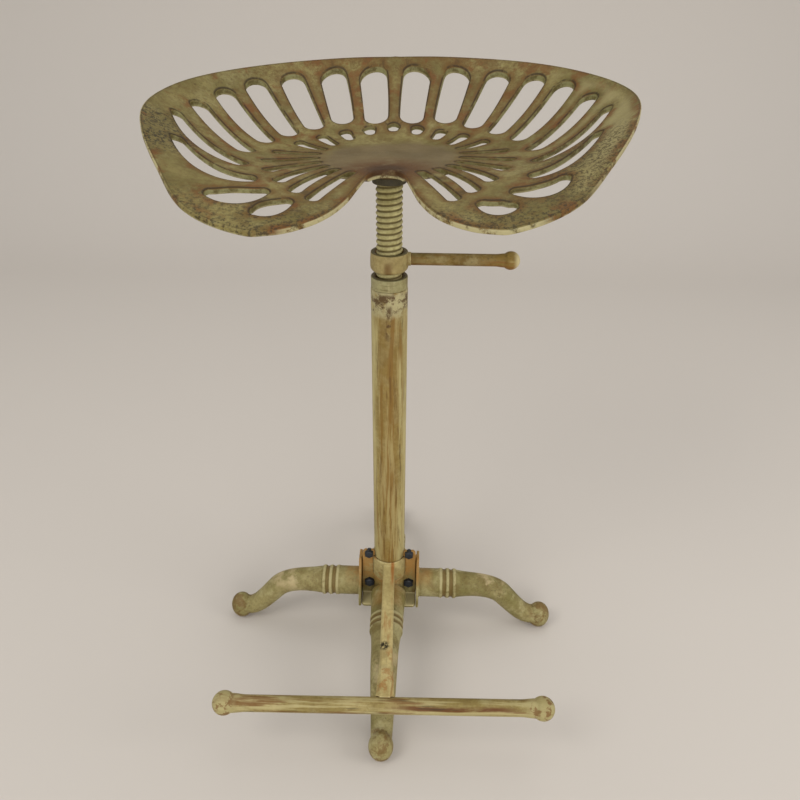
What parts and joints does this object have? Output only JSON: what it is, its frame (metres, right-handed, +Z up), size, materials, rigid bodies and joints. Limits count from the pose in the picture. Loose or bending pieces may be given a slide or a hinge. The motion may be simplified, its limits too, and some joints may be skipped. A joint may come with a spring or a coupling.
{
  "type": "bar stool",
  "caption": "Height-adjustable stool: slotted cast seat on a coarse screw with a lever lock collar, tubular post, bolted cast legs and a footrest bar.",
  "frame": {"origin": "on the floor, on the axis of the post", "axes": "+Z up; the footrest and the seat's notch face -Y; the lock lever points to +X"},
  "size_m": [0.4437, 0.4282, 0.6782],
  "materials": {
    "seat_paint": "worn antique paint with rust at the slot edges",
    "leg_paint": "worn antique paint",
    "footrest_paint": "worn antique paint with brown streaks",
    "post_paint": "worn antique paint with brown streaks",
    "lock_paint": "worn antique paint",
    "screw_paint": "painted thread, worn",
    "plain_steel": "plain",
    "dark_steel": "black"
  },
  "bodies": {
    "base": {"post_tube": "post_paint", "post_bush": "plain_steel", "front_leg": "leg_paint", "rear_leg": "leg_paint", "left_leg": "leg_paint", "right_leg": "leg_paint", "hub_bolt_upper_left": "dark_steel", "hub_bolt_upper_right": "dark_steel", "hub_bolt_lower_left": "dark_steel", "hub_bolt_lower_right": "dark_steel", "hub_nut_lower_left": "dark_steel", "hub_nut_lower_right": "dark_steel", "footrest_arm": "footrest_paint", "footrest_bar": "footrest_paint"},
    "lock": {"lock_collar": "lock_paint", "lock_lever": "lock_paint"},
    "stop": {"stop_washer": "plain_steel"},
    "seat": {"seat_casting": "seat_paint", "seat_jam_nut": "dark_steel", "lift_screw": "screw_paint", "stop_screw": "plain_steel"}
  },
  "joints": [
    {"name": "lock_turn", "type": "hinge", "parent": "base", "child": "lock", "pos_m": [0, 0, 0.5096], "axis": [0, 0, 1], "range_deg": [0, 90]},
    {"name": "seat_lift", "type": "slide", "parent": "base", "child": "stop", "axis": [0, 0, 1], "range_m": [-0.0565, 0.1129]},
    {"name": "seat_turn", "type": "hinge", "parent": "stop", "child": "seat", "pos_m": [0, 0, 0.5], "axis": [0, 0, 1], "range_deg": [-3600, 7200]}
  ],
  "couplings": [
    {"joint": "seat_lift", "follows": "seat_turn", "m_per_rad": 0.00089764}
  ]
}
